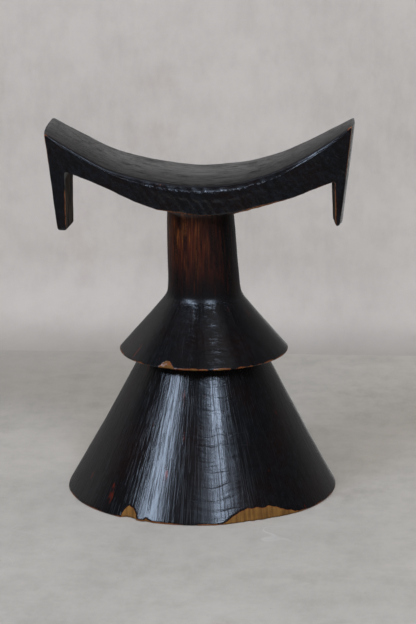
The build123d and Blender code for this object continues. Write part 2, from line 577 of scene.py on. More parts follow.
# ---- foot ---------------------------------------------------------------------------------
FOOT_HIGH = node_box("base_cone")[1]
FOOT_RADIUS = FOOT_HIGH[0] + 0.15
FOOT_TOP = FOOT_HIGH[2]
FOOT_SLOPE = 0.5615             # how fast the radius shrinks with height at the rim
FOOT_HOLLOW = 0.00042           # and how much it eases off
FOOT_EDGE = 1.2                 # rounding of the outer foot edge
FOOT_OVERLAP = 0.4              # how far the foot runs on into the skirt
FOOT_SHIFTS = (0.3, 1.3)        # how far it leans to the right, at its bottom and top
HOLLOW_RADIUS = 54.5
HOLLOW_DEPTH = 42.0
CHIPS_END = 12.0                # no chip reaches this height
BARE_DEPTH = 0.55               # a chip this deep is all bare wood

# chips round the foot: outlines of (bearing, height) and the depth of the cut as a share
FLAKES = (
    ([(-32.8, 0.0), (-31.8, 4.0), (-29.8, 6.3), (-27.4, 5.9), (-25.4, 3.2), (-24.4, 0.0)], 0.42),
    ([(-21.6, 0.0), (-20.6, 2.2), (-18.8, 2.0), (-17.2, 0.0)], 0.4),
    (
        [(9.0, 0.0), (12.5, 1.2), (15.5, 2.9), (18.5, 4.9), (22.0, 6.3), (26.0, 6.9), (30.0, 6.5),
         (34.0, 6.6), (39.0, 5.0), (44.0, 3.0), (50.0, 1.6), (58.0, 0.0)],
        0.30,
    ),
)


def foot_wall(z):
    """Radius of the foot's outside at height z."""
    return FOOT_RADIUS - FOOT_SLOPE * z + FOOT_HOLLOW * z * z


def foot_chain():
    """The foot's section: up the dome, out along the ring, and up the outside to its top."""
    dome_radius = (HOLLOW_RADIUS ** 2 + HOLLOW_DEPTH ** 2) / (2 * HOLLOW_DEPTH)
    centre = (0, HOLLOW_DEPTH - dome_radius)
    low = math.degrees(math.atan2(-centre[1], HOLLOW_RADIUS))
    points = quarter(centre, dome_radius, 90, low, 22)
    points += run((HOLLOW_RADIUS, 0), (foot_wall(0) - FOOT_EDGE, 0), 6)
    points += [
        (foot_wall(FOOT_EDGE * t * t) - FOOT_EDGE * (1 - t) ** 2, FOOT_EDGE * t * t)
        for t in np.linspace(0, 1, 6, endpoint=False)
    ]
    # closely spaced where the chips are
    top = FOOT_TOP + FOOT_OVERLAP
    heights = np.concatenate([np.arange(FOOT_EDGE, 9.0, 0.36), np.linspace(9.0, top, 66)])
    points += [(foot_wall(z), z) for z in heights]
    return points + [(foot_wall(FOOT_TOP) * share, top) for share in (0.66, 0.33, 0.0)]


def lean(points, heights, shifts):
    """Moves points sideways by an amount that depends on their height."""
    moved = points.copy()
    moved[:, 0] += np.interp(points[:, 2], heights, shifts)
    return moved


def chip_foot(points):
    """Breaks flakes off the foot's outer edge. Returns the points and where wood is bare."""
    radius, bearing, height = radius_of(points), bearing_of(points), points[:, 2]
    outside = (radius > HOLLOW_RADIUS + 0.01) & (height < CHIPS_END)
    share = np.clip((radius - HOLLOW_RADIUS) / (foot_wall(0) - FOOT_EDGE - HOLLOW_RADIUS), 0, 1)
    # along the edge, one degree of bearing is about 1.1 mm
    along_edge = np.c_[bearing * 1.1, bearing * 0, bearing * 0]
    ragged = waves(along_edge, 2.4, 5) * 0.5
    fibres = 1 + 0.10 * waves(along_edge + np.outer(height, (0, 0, 0.1)), 1.1, 8)
    inward = np.zeros(len(points))
    bare = np.zeros(len(points))
    for outline, cut in FLAKES:
        bearings, tops = zip(*outline)
        top = np.interp(bearing, bearings, tops)
        top = np.where(top > 0.3, top + ragged * np.minimum(top, 1.0) * 0.6, top)
        depth = np.where(outside & (height < top), (top - height) * cut, 0)
        inward = np.maximum(inward, depth * share * fibres)
        bare = np.maximum(bare, smooth_step(depth, 0.0, BARE_DEPTH))
    rim_line = outside * (1 - smooth_step(height, 0.5, 1.3))
    moved = pushed_out(points, radius, -inward)
    return moved, np.maximum(bare, rim_line * (0.42 + 0.16 * waves(points, 9.0, 21)))


def make_foot(tree, polish):
    mesh = bake(
        "foot_visual", chain(foot_chain()), tree, Segments=720, Out_of_round=0.35,
        Patch_size=38.0, Dent_depth=0.10, Dent_size=11.0, Scraper_depth=0.07, Scraper_marks=85.0,
        Seed=3.0, Polish=polish,
    )
    points, bare = chip_foot(points_of(mesh))
    radius, height = radius_of(points), points[:, 2]
    hollow = (radius < HOLLOW_RADIUS + 0.5) & (height < HOLLOW_DEPTH + 0.1)
    hollow &= radius < foot_wall(height) - 2.0
    set_points(mesh, lean(points, (0, FOOT_TOP), FOOT_SHIFTS))
    set_wear(mesh, bare, hollow)
    return link("foot_visual", mesh)


# ---- skirt and stem, turned as one and then parted -----------------------------------------
SKIRT_LOW, SKIRT_HIGH = node_box("upper_skirt")
SKIRT_BASE = SKIRT_LOW[2]
SKIRT_TOP = SKIRT_HIGH[2]
SKIRT_RADIUS = 36.13            # at 72 mm
SKIRT_SLOPE = 0.86
SKIRT_FULLNESS = (0.1, 0.45)    # how far its upper side stands out all round, and more in front
STEM_TOP = node_box("stem")[1][2] + 6.0
STEM_RADIUS = 16.5              # at 110 mm
STEM_TAPER = 0.03
STEM_STRETCH = 118.0            # above this the stem is stretched to meet the saddle
STEM_FILLET = (2.7, 4.5)        # how far it spreads below the saddle, and over what height
SHOULDER = 0.95                 # how softly the skirt turns into the stem
LIP_EDGE = (1.0, 0.75)          # rounding under the skirt's lip, inwards and upwards
LIP_GAPS = ((8.5, 2.4), (24.0, 3.0), (-58.0, 5.0), (-33.0, 2.5), (140.0, 9.0))
CHIP_BEARING, CHIP_WIDTH, CHIP_HEIGHT, CHIP_CUT = -22.5, 6.5, 3.6, 0.17
LEAN_HEIGHTS = (67, 94, 104, 112, 122, 136)
LEAN_SHIFTS = (1.4, 1.7, 1.45, 1.0, 0.5, 0.0)


def skirt_wall(z, fuller=0.0):
    """Radius of the skirt and stem at height z: two straight sides, joined softly.

    fuller pushes the upper part of the skirt's side out, in millimetres.
    """
    skirt = SKIRT_RADIUS - SKIRT_SLOPE * (z - 72.0) + fuller * smooth_step(z, 80.0, 93.0)
    stem = STEM_RADIUS - STEM_TAPER * (z - 110.0)
    return (skirt + stem + np.hypot(skirt - stem, 2 * SHOULDER)) / 2


def skirt_chain():
    """The section of skirt and stem: out under the skirt, round its lip and up to the top."""
    inwards, upwards = LIP_EDGE
    lip = SKIRT_BASE + upwards
    edge = skirt_wall(lip)
    points = [(0.0, SKIRT_BASE), (12.0, SKIRT_BASE), (24.0, SKIRT_BASE)]
    points += run((30.0, SKIRT_BASE), (edge - inwards, SKIRT_BASE), 10)
    points += [(edge - inwards + math.sin(t) * inwards, SKIRT_BASE + upwards * (1 - math.cos(t)))
               for t in np.linspace(0, math.pi / 2, 7, endpoint=False)]
    heights = np.concatenate([
        np.arange(lip, SKIRT_BASE + 6.0, 0.34),
        np.linspace(SKIRT_BASE + 6.0, SKIRT_TOP, 38, endpoint=False),
        np.linspace(SKIRT_TOP, 104.0, 20, endpoint=False),
        np.linspace(104.0, STEM_TOP, 50),
    ])
    points += [(skirt_wall(z), z) for z in heights]
    return points + [(skirt_wall(STEM_TOP) * share, STEM_TOP) for share in (0.5, 0.0)]


def lip_wear(points):
    """How bare the skirt's lower edge is: unevenly, with gaps where the black has stayed."""
    bearing = bearing_of(points)
    above = points[:, 2] - SKIRT_BASE
    lip = smooth_step(radius_of(points), 36.5, 37.6) * (1 - smooth_step(above, 0.6, 1.7))
    bare = lip * (0.47 + 0.12 * waves(points, 8.0, 31) + 0.10 * waves(points, 2.6, 35)
                  + 0.14 * bump_at(bearing, -13.5, 7.0) + 0.12 * bump_at(bearing, 3.5, 4.5))
    for gap, width in LIP_GAPS:
        bare *= 1 - 0.8 * bump_at(bearing, gap, width)
    return bare


def chip_skirt(points):
    """Breaks a chip out of the skirt's lip. Returns the points and where wood is bare."""
    bearing, height, radius = bearing_of(points), points[:, 2], radius_of(points)
    top = SKIRT_BASE + CHIP_HEIGHT * bump_at(bearing, CHIP_BEARING, CHIP_WIDTH) ** 0.5
    cut = np.where((radius > 33) & (height < top), (top - height) * CHIP_CUT, 0)
    moved = pushed_out(points, radius, -cut)
    crackled = 0.60 + 0.15 * waves(moved * (1, 1, 2), 1.7, 33)
    return moved, np.maximum(lip_wear(points), smooth_step(cut, 0.0, 0.05) * crackled)


def meet_saddle(points, bearing, height, radius, underside):
    """Stretches the stem to the saddle's underside, with a small fillet, widest at the left."""
    upper = np.clip((height - STEM_STRETCH) / (STEM_TOP - STEM_STRETCH), 0, 1)
    moved = points.copy()
    moved[:, 2] += upper * (underside(points[:, 0]) + 0.5 - STEM_TOP)
    spread, reach = STEM_FILLET
    near_top = np.clip(1 - (underside(moved[:, 0]) - moved[:, 2]) / reach, 0, 1)
    to_left = 0.25 + 0.75 * bump_at(bearing, -80, 85)
    return pushed_out(moved, radius, spread * near_top ** 2.2 * to_left * (radius > 10))


def make_skirt_and_stem(tree, skirt_finish, stem_finish, underside):
    """Turns the skirt and stem. underside gives the saddle's lowest height at each x."""
    whole = bake(
        "skirt_and_stem", chain(skirt_chain()), tree, Segments=640, Out_of_round=0.3,
        Patch_size=30.0, Dent_depth=0.08, Dent_size=9.0, Scraper_depth=0.04, Scraper_marks=60.0,
        Seed=5.0, Polish=skirt_finish,
    )
    turned = points_of(whole)
    bearing, height, radius = bearing_of(turned), turned[:, 2], radius_of(turned)
    points, bare = chip_skirt(turned)
    all_round, in_front = SKIRT_FULLNESS
    fuller = all_round + in_front * bump_at(bearing, 0.0, 85.0)
    on_wall = (radius > 10) & (height > SKIRT_BASE + 4.0)
    points = pushed_out(points, radius, (skirt_wall(height, fuller) - skirt_wall(height)) * on_wall)
    points = meet_saddle(points, bearing, height, radius, underside)
    set_points(whole, lean(points, LEAN_HEIGHTS, LEAN_SHIFTS))
    set_wear(whole, bare, (height < SKIRT_BASE + 0.01) & (radius < 37.0))
    heights = face_heights(whole)
    skirt = link("skirt_visual", cut_out(whole, heights < SKIRT_TOP, "skirt_visual"))
    stem = link("stem_visual", cut_out(whole, heights > SKIRT_TOP, "stem_visual"))
    stem.data.materials.clear()
    stem.data.materials.append(stem_finish)
    bpy.data.meshes.remove(whole)
    return skirt, stem


# ---- saddle and flaps, drawn as one ribbon and then parted ----------------------------------
# Each edge runs from the foot of the left flap, over the saddle, to the foot of the right one.
HALF_DEPTH_LEFT, HALF_DEPTH_MIDDLE, HALF_DEPTH_RIGHT = 19.3, 24.4, 15.0
REACH = 72.0
FLAP_FOOT_ROUNDING = 0.8
CUT_DEPTH = 0.30                # of the tool cuts on the front face


def half_depth(x):
    """Half the saddle's depth at x: it bows out in the middle and the right end is narrower."""
    left = HALF_DEPTH_LEFT + (HALF_DEPTH_MIDDLE - HALF_DEPTH_LEFT) * (1 - (x / REACH) ** 2)
    right = HALF_DEPTH_RIGHT + (HALF_DEPTH_MIDDLE - HALF_DEPTH_RIGHT) * (
        1 - np.abs(x / REACH) ** 2.6)
    return np.where(x < 0, left, right)


def through(points, steps):
    """A smooth curve through points (Catmull-Rom), with about one point every step."""
    points = np.array(points, float)
    padded = np.vstack([2 * points[0] - points[1], points, 2 * points[-1] - points[-2]])
    curve = []
    for a, b, c, d in zip(padded, padded[1:], padded[2:], padded[3:]):
        count = max(2, int(np.linalg.norm(c - b) / steps))
        for t in np.linspace(0, 1, count, endpoint=False):
            curve.append(
                0.5 * (2 * b + (c - a) * t + (2 * a - 5 * b + 4 * c - d) * t * t
                       + (3 * b - a - 3 * c + d) * t ** 3)
            )
    return np.vstack([curve, points[-1]])


def rounded(points, radii):
    """A chain of straight runs with its corners rounded, as closely spaced points."""
    points = np.array(points, float)
    path = [points[0]]
    for before, corner, after, radius in zip(points, points[1:], points[2:], radii):
        back = (before - corner) / np.linalg.norm(before - corner)
        ahead = (after - corner) / np.linalg.norm(after - corner)
        for t in np.linspace(0, 1, 14):
            path.append((1 - t) ** 2 * (corner + back * radius) + 2 * t * (1 - t) * corner
                        + t * t * (corner + ahead * radius))
    path.append(points[-1])
    return np.array(path)


def spaced(path, marks, counts):
    """Points along a path: counts[i] of them from marks[i] to marks[i + 1], both (x, z)."""
    steps = np.linalg.norm(np.diff(path, axis=0), axis=1)
    length = np.concatenate([[0], np.cumsum(steps)])
    stops = [length[np.argmin(np.linalg.norm(path - np.array(mark), axis=1))] for mark in marks]
    runs = [np.linspace(a, b, count, endpoint=False) for a, b, count in zip(stops, stops[1:], counts)]
    where = np.concatenate([*runs, [stops[-1]]])
    return np.c_[np.interp(where, length, path[:, 0]), np.interp(where, length, path[:, 1])]


LEFT_SEAM = node_box("left_end_flap")[1][2]    # height at which the left flap meets the saddle
RIGHT_SEAM = node_box("right_end_flap")[1][2]
DISH_LOW = (0.0, 151.3)          # the lowest points of the dish and of the underside
BELLY_LOW = (4.0, 136.8)

# (x, z) outlines of the upper and outer side and of the under and inner side, front and back
ARCH = [(-49.3, 152.2), (-41.0, 148.8), (-33.5, 145.2), (-24.7, 141.6), (-17.0, 139.2),
        (-7.6, 137.6), BELLY_LOW, (14.6, 137.4), (21.9, 138.8), (33.0, 142.0)]
FRONT_OUTER = {
    "left_foot": (-64.95, 129.6), "left_tip": (-70.9, 174.4),
    "dish": [(-63.5, 170.2), (-56.6, 166.2), (-43.0, 159.2), (-29.4, 155.0), (-15.0, 152.4),
             DISH_LOW, (15.0, 152.2), (24.1, 154.1), (37.5, 158.5), (50.9, 165.1), (61.9, 171.8)],
    "right_tip": (71.3, 178.4), "right_foot": (65.9, 132.2),
}
BACK_OUTER = {
    "left_foot": (-64.2, 123.8), "left_tip": (-71.7, 174.8),
    "dish": [(-63.5, 170.0), (-56.6, 166.3), (-43.0, 159.4), (-29.4, 155.2), (-15.0, 152.5),
             DISH_LOW, (15.0, 152.5), (24.1, 154.0), (37.5, 158.3), (50.9, 164.6), (61.9, 170.8)],
    "right_tip": (71.8, 176.6), "right_foot": (65.9, 127.4),
}
FRONT_INNER = {
    "left_foot": (-61.05, 129.6), "left_root": (-61.3, 156.5),
    "arch": [*ARCH, (44.9, 145.7), (53.6, 149.0)],
    "right_root": (63.6, 152.4), "right_foot": (63.9, 132.2),
}
BACK_INNER = {
    "left_foot": (-62.1, 123.8), "left_root": (-61.9, 156.5),
    "arch": [*ARCH, (44.9, 145.9), (52.0, 148.9)],
    "right_root": (60.8, 152.2), "right_foot": (61.8, 127.4),
}
# stations along each flap, from its seam to its corner, and from there to the middle
FLAP_STEPS, END_STEPS, ARM_STEPS = 60, 44, 170
STATION_COUNTS = [FLAP_STEPS, END_STEPS, ARM_STEPS, ARM_STEPS, END_STEPS, FLAP_STEPS]


def on_outer_face(outer, side, z):
    """The point at height z on the straight outer face of an end."""
    foot, tip = outer[side + "_foot"], outer[side + "_tip"]
    t = (z - foot[1]) / (tip[1] - foot[1])
    return (foot[0] + (tip[0] - foot[0]) * t, z)


def outer_edge(outer, left_round, right_round):
    """One upper and outer edge, from flap to flap, with both its corners rounded."""
    dish = through([outer["left_tip"], *outer["dish"], outer["right_tip"]], 0.3)
    left = rounded([outer["left_foot"], outer["left_tip"], tuple(dish[12])], [left_round])
    right = rounded([tuple(dish[-13]), outer["right_tip"], outer["right_foot"]], [right_round])
    path = np.vstack([left, dish[13:-13], right])
    marks = [
        outer["left_foot"], on_outer_face(outer, "left", LEFT_SEAM),
        outer["left_tip"], DISH_LOW, outer["right_tip"],
        on_outer_face(outer, "right", RIGHT_SEAM), outer["right_foot"],
    ]
    return spaced_dense(path, marks, STATION_COUNTS)


def inner_edge(inner, left_fillet, right_fillet):
    """One lower and inner edge, from flap to flap, with a fillet under each end."""
    arch = through([inner["left_root"], *inner["arch"], inner["right_root"]], 0.3)
    left = rounded([inner["left_foot"], inner["left_root"], tuple(arch[24])], [left_fillet])
    right = rounded([tuple(arch[-25]), inner["right_root"], inner["right_foot"]], [right_fillet])
    path = np.vstack([left, arch[25:-25], right])
    marks = [
        inner["left_foot"], (inner["left_root"][0], inner["left_root"][1] - left_fillet),
        (inner["left_root"][0] + left_fillet * 0.93, inner["left_root"][1] - left_fillet * 0.37),
        BELLY_LOW,
        (inner["right_root"][0] - right_fillet * 0.95, inner["right_root"][1] - right_fillet * 0.3),
        (inner["right_root"][0], inner["right_root"][1] - right_fillet), inner["right_foot"],
    ]
    return spaced_dense(path, marks, STATION_COUNTS)


def spaced_dense(path, marks, counts):
    """spaced(), on a path whose straight runs have first been filled with points."""
    filled = []
    for a, b in zip(path, path[1:]):
        count = max(1, int(np.linalg.norm(b - a) / 0.05))
        filled += [a + (b - a) * i / count for i in range(count)]
    return spaced(np.vstack([filled, path[-1]]), marks, counts)


# points round the ribbon's section, from the front top corner over the top and back again
CORNER_POINTS, TOP_POINTS, SIDE_POINTS, UNDER_POINTS = 10, 64, 30, 54
AROUND = 4 * CORNER_POINTS + TOP_POINTS + 2 * SIDE_POINTS + UNDER_POINTS
CORNER_STARTS = np.cumsum([0, CORNER_POINTS + TOP_POINTS, CORNER_POINTS + SIDE_POINTS,
                           CORNER_POINTS + UNDER_POINTS])


def section_loop(corners, setbacks):
    """Rounded four-sided loops, one for each station.

    corners: four arrays of points, in order round the section. setbacks: for each corner,
    how far its rounding reaches along the side before it and the side after it.
    """
    rows = []
    sides = (TOP_POINTS, SIDE_POINTS, UNDER_POINTS, SIDE_POINTS)
    for i in range(4):
        corner, before, after = corners[i], corners[i - 1], corners[(i + 1) % 4]
        back = before - corner
        back /= np.linalg.norm(back, axis=1)[:, None]
        ahead = after - corner
        reach = np.linalg.norm(ahead, axis=1)[:, None]
        ahead = ahead / reach
        rise, run_out = setbacks[i]
        for t in np.linspace(0, 1, CORNER_POINTS, endpoint=False):
            rows.append((1 - t) ** 2 * (corner + back * rise[:, None]) + 2 * t * (1 - t) * corner
                        + t * t * (corner + ahead * run_out[:, None]))
        next_rise = setbacks[(i + 1) % 4][0][:, None]
        start, end = corner + ahead * run_out[:, None], after - ahead * next_rise
        for t in np.linspace(0, 1, sides[i], endpoint=False):
            rows.append(start + (end - start) * t)
    return np.stack(rows, axis=1)


def edge_points(xz, sign):
    """An (x, z) outline set at the front (-1) or the back (1) of the saddle."""
    return np.c_[xz[:, 0], sign * half_depth(xz[:, 0]), xz[:, 1]]


def corner_setbacks(station, x, z):
    """How far each corner's rounding reaches along the sides before and after it."""
    first, last = FLAP_STEPS, len(station) - 1 - FLAP_STEPS
    on_top = smooth_step(station, first + END_STEPS - 6, first + END_STEPS + 14) * (
        1 - smooth_step(station, last - END_STEPS - 14, last - END_STEPS + 6))
    middle = bump_at(x, 8.0, 58.0) * on_top
    belly = np.clip(bump_at(x, 22.0, 36.0) + bump_at(x, -14.0, 12.0), 0, 1) * on_top
    right_corner = smooth_step(station, last - 12, last + 6) * smooth_step(z, 128.0, 176.0)
    top_front = (0.8 + on_top * 2.5 + 3.2 * middle + 1.6 * right_corner,
                 0.8 + on_top * 1.8 + 1.9 * right_corner)
    top_back = (0.7 + on_top * 0.5, 0.7 + on_top * 0.5)
    under_back = (0.7 + 0.4 * on_top, 0.7 + 0.4 * on_top)
    under_front = (0.7 + 1.6 * belly, 0.6 + 1.2 * belly)
    return [top_front, top_back, under_back, under_front]


def swell_ends(loops, x):
    """Lets the middle of each end stand out a little, because it isn't quite flat."""
    station = np.arange(len(loops))
    first, last = FLAP_STEPS, len(loops) - 1 - FLAP_STEPS
    across = np.clip((loops[:, :, 1] / half_depth(x)[:, None] + 1) / 2, 0, 1)
    outer_side = np.arange(AROUND) < CORNER_POINTS * 2 + TOP_POINTS
    swell = 4 * across * (1 - across) * outer_side
    left_end = 1 - smooth_step(station, first + END_STEPS - 4, first + END_STEPS + 5)
    right_end = smooth_step(station, last - END_STEPS - 5, last - END_STEPS + 4)
    loops[:, :, 0] += swell * (0.9 * right_end - 1.3 * left_end)[:, None]


def flap_foot_loops(corners, setbacks, at):
    """Loops that round off the foot of a flap, from its walls to its flat end."""
    quad = [corner[at] for corner in corners]
    setbacks_here = [(rise[at:at + 1], run_out[at:at + 1]) for rise, run_out in setbacks]
    rings = []
    for angle in np.radians((0, 25, 50, 72, 90)):
        inset = FLAP_FOOT_ROUNDING * (1 - math.cos(angle))
        drop = np.array([0.0, 0.0, -FLAP_FOOT_ROUNDING * math.sin(angle)])
        moved = []
        for i in range(4):
            along = quad[(i + 1) % 4] - quad[i]
            back = quad[i - 1] - quad[i]
            inwards = along / np.linalg.norm(along) + back / np.linalg.norm(back)
            moved.append((quad[i] + inset * inwards + drop)[None, :])
        rings.append(section_loop(moved, setbacks_here)[0])
    return rings


def ribbon_mesh(loops):
    """A closed mesh through the loops. Its last two faces close its ends."""
    grid = np.arange(len(loops) * AROUND).reshape(len(loops), AROUND)
    faces = []
    for a, b in zip(grid, grid[1:]):
        faces += list(zip(a, b, np.roll(b, -1), np.roll(a, -1)))
    faces += [tuple(grid[0]), tuple(grid[-1][::-1])]
    mesh = bpy.data.meshes.new("ribbon")
    points = (loops.reshape(-1, 3) * MM).tolist()
    mesh.from_pydata(points, [], [tuple(int(i) for i in face) for face in faces])
    mesh.shade_smooth()
    build = bmesh.new()
    build.from_mesh(mesh)
    bmesh.ops.recalc_face_normals(build, faces=build.faces)
    build.to_mesh(mesh)
    build.free()
    return mesh


def tool_cuts(points, around_place):
    """Depth of shallow slanting cuts on the front face, deepest in the middle."""
    slant = points[:, 0] + 0.55 * points[:, 2] + 1.2 * waves(points, 9.0, 45)
    edges = np.cumsum(np.random.default_rng(47).uniform(3.2, 7.5, 80)) - 100.0
    cut = np.searchsorted(edges, slant)
    low, high = edges[np.clip(cut - 1, 0, 79)], edges[np.clip(cut, 0, 79)]
    within = np.clip((slant - low) / np.maximum(high - low, 1e-6), 0, 1)
    front_side = points[:, 1] < -half_depth(points[:, 0]) + 4.0
    up_face = (around_place - (AROUND - SIDE_POINTS)) / SIDE_POINTS
    past_edge = np.where(around_place < CORNER_POINTS, 0.2, 1 - 0.8 * smooth_step(up_face, 0.72, 1.0))
    share = front_side * past_edge * (0.2 + 0.8 * bump_at(points[:, 0], 2.0, 42.0))
    return CUT_DEPTH * 4 * within * (1 - within) * share


def edge_wear(points, around_place, flap):
    """How bare the edges are: each corner of the section carries its own share."""
    x = points[:, 0]
    strengths = (
        0.10 + 0.55 * bump_at(x, 70.5, 4.0) + 0.60 * bump_at(x, -70.5, 3.0),
        0.15 + 0.2 * bump_at(x, 71, 4.0),
        0.30,
        0.36 + 0.26 * flap + 0.30 * bump_at(x, 29, 20) + 0.30 * bump_at(x, -17, 9),
    )
    rubbing = 0.12 * waves(points, 7.0, 51) + 0.16 * flap * waves(points, 4.0, 53)
    bare = np.zeros(len(points))
    for start, strength in zip(CORNER_STARTS, strengths):
        past_middle = around_place - (start + CORNER_POINTS / 2)
        distance = np.abs((past_middle + AROUND / 2) % AROUND - AROUND / 2)
        bare = np.maximum(bare, np.clip(1 - distance / 7.0, 0, 1) * (strength + rubbing))
    return bare


def edge_turn(x, around_place):
    """How the front top edge is worn to look: to the right in the middle, then to the left."""
    edge_row = bump_at(around_place, CORNER_POINTS * 0.28, CORNER_POINTS * 0.38)
    to_left = smooth_step(x, 38.0, 50.0) * (1 - smooth_step(x, 62.0, 69.0))
    to_right = bump_at(x, 14.0, 30.0)
    return np.outer(edge_row * (0.17 * to_right - 0.18 * to_left), (1.0, 0.0, 0.0))


def make_saddle(polish):
    """The saddle and both flaps, from one ribbon, and the line of the saddle's underside."""
    front_inner = inner_edge(FRONT_INNER, 1.7, 1.2)
    corners = [
        edge_points(outer_edge(FRONT_OUTER, 1.2, 1.0), -1),
        edge_points(outer_edge(BACK_OUTER, 2.6, 1.6), 1),
        edge_points(inner_edge(BACK_INNER, 1.5, 1.2), 1),
        edge_points(front_inner, -1),
    ]
    front_x, _, front_z = corners[0].T
    setbacks = corner_setbacks(np.arange(len(front_x)), front_x, front_z)
    loops = section_loop(corners, setbacks)
    swell_ends(loops, front_x)
    left_foot = flap_foot_loops(corners, setbacks, 0)[:0:-1]
    right_foot = flap_foot_loops(corners, setbacks, len(front_x) - 1)[1:]
    loops = np.concatenate([left_foot, loops, right_foot])
    mesh = ribbon_mesh(loops)

    points = loops.reshape(-1, 3)
    around_place = np.tile(np.arange(AROUND), len(loops))
    normals = normals_of(mesh)
    uneven = 0.10 * waves(points, 26.0, 41) + 0.035 * waves(points, 4.5, 43)
    uneven -= tool_cuts(points, around_place)
    set_points(mesh, points + normals * uneven[:, None])

    x, z = points[:, 0], points[:, 2]
    flap = ((z < LEFT_SEAM - 4) & (x < -50)) | ((z < RIGHT_SEAM - 1) & (x > 50))
    inner = (around_place >= CORNER_STARTS[2] + CORNER_POINTS) & (around_place < CORNER_STARTS[3])
    sheltered = inner * (0.45 * (np.abs(x) > 14) + 0.55 * flap)
    set_wear(mesh, edge_wear(points, around_place, flap), sheltered, normals[:, 2])
    mesh.materials.append(polish)

    row_of_face = np.arange(len(mesh.polygons)) // AROUND
    is_left = row_of_face < len(left_foot) + FLAP_STEPS
    is_left[-2] = True          # the face that closes the left end
    is_right = (row_of_face >= len(loops) - 1 - len(right_foot) - FLAP_STEPS) & ~is_left
    turned = edge_turn(x, around_place)
    left = link("left_flap_visual", cut_out(mesh, is_left, "left_flap_visual"))
    right = link("right_flap_visual", cut_out(mesh, is_right, "right_flap_visual"))
    middle = link("saddle_visual", cut_out(mesh, ~is_left & ~is_right, "saddle_visual", turned))
    bpy.data.meshes.remove(mesh)
    underside = front_inner[FLAP_STEPS + END_STEPS:-FLAP_STEPS - END_STEPS]
    return left, middle, right, underside[np.argsort(underside[:, 0])]


# ---- stage, light and camera ----------------------------------------------------------------
VIEW_BEARING, VIEW_RISE, VIEW_ROLL = 4.0, 14.72, -0.3
VIEW_TARGET = Vector((3.39, 0.24, 84.9)) * MM
VIEW_DISTANCE = 1.420           # metres
LENS, SENSOR = 173.08, 36.0
LIGHT_TARGET = Vector((0, 0, 70)) * MM


def towards(bearing, rise):
    """A unit vector at this bearing from the front and this height above level."""
    b, e = math.radians(bearing), math.radians(rise)
    return Vector((math.sin(b) * math.cos(e), -math.cos(b) * math.cos(e), math.sin(e)))


def make_camera():
    data = bpy.data.cameras.new("camera")
    data.lens, data.sensor_width = LENS, SENSOR
    camera = bpy.data.objects.new("camera", data)
    back = towards(VIEW_BEARING, VIEW_RISE)
    camera.location = VIEW_TARGET + back * VIEW_DISTANCE
    roll = Euler((0, 0, math.radians(VIEW_ROLL))).to_matrix()
    turn = (-back).to_track_quat("-Z", "Y").to_matrix() @ roll
    camera.rotation_euler = turn.to_euler()
    bpy.context.scene.collection.objects.link(camera)
    bpy.context.scene.camera = camera


def make_window(name, bearing, rise, distance, width, height, watts, color, glossy=True):
    """A rectangular light, measured in metres, that faces the middle of the object."""
    data = bpy.data.lights.new(name, "AREA")
    data.shape = "RECTANGLE"
    data.size, data.size_y = width, height
    data.energy, data.color = watts, color
    light = bpy.data.objects.new(name, data)
    away = towards(bearing, rise)
    light.location = LIGHT_TARGET + away * distance
    light.rotation_euler = away.to_track_quat("Z", "Y").to_euler()
    light.visible_glossy = glossy
    bpy.context.scene.collection.objects.link(light)


def make_lights():
    cool, warm = (0.63, 0.77, 1.0), (1.0, 0.935, 0.865)
    make_window("left_window", VIEW_BEARING - 50, 37, 1.7, 0.40, 0.60, 9.8, cool)
    make_window("right_window", VIEW_BEARING + 20, 40, 1.7, 0.24, 0.55, 6.2, cool)
    make_window("right_glow", VIEW_BEARING + 17, 40, 1.75, 0.85, 0.55, 2.3, cool)
    make_window("front_fill", VIEW_BEARING - 8, 50, 2.5, 2.2, 1.6, 21.0, warm, glossy=False)
    make_window("overhead_fill", -20, 80, 2.2, 2.2, 2.2, 5.0, warm, glossy=False)


def make_world():
    """The room as the gloss shows it: pale to the left and behind, dark in front and above."""
    world = bpy.data.worlds.new("studio")
    bpy.context.scene.world = world
    world.use_nodes = True
    world.node_tree.nodes.clear()
    start = Wire(world.node_tree, None)
    direction = start.node("ShaderNodeTexCoord", out="Generated")
    _, _, z = direction.parts()
    level = start.vector("NORMALIZE", start.vector("MULTIPLY", direction, (1, 1, 0)))
    level_x, level_y, _ = level.parts()
    pale = level_y.between(0.0, 0.5, 0.0, 0.35)
    dim = level_y.between(-0.1, 1.0, 0.0, 0.16)
    to_left = level_x.between(-0.3, 0.3, 1.0, 0.0)
    low = z.between(0.45, 0.85, 1.0, 0.0)
    pale = pale * z.between(0.05, 0.42, 0.45, 1.0)
    room = (pale * to_left + dim * (1.0 - to_left)) * low * z.between(-0.35, 0.08, 0.35, 1.0)
    straight_back = level_y.between(0.93, 0.995) * z.between(0.08, 0.20) * low * 0.37
    past_edges = level_y.between(0.96, 0.998) * z.between(-0.50, -0.30) * low * 0.55
    room = room.larger(straight_back.larger(past_edges))
    floor = z.between(-0.52, -0.36, 0.34, 0.0)
    above_right = towards(VIEW_BEARING + 38, 62)
    glow = start.vector("DOT_PRODUCT", direction, tuple(above_right)).out("Value")
    glow = glow.between(0.93, 0.995) * 0.26
    front = level_y.between(-0.75, -0.15, 0.030, 0.0) * low
    seen = 0.015 + front + room.larger(floor.larger(glow))
    gloss = start.node("ShaderNodeLightPath", out="Is Glossy Ray")
    strength = gloss * seen + (1.0 - gloss) * 0.25
    sockets = {"Color": (1, 0.99, 0.98, 1), "Strength": strength}
    light = start.node("ShaderNodeBackground", None, sockets)
    start.node("ShaderNodeOutputWorld", None, {"Surface": light})


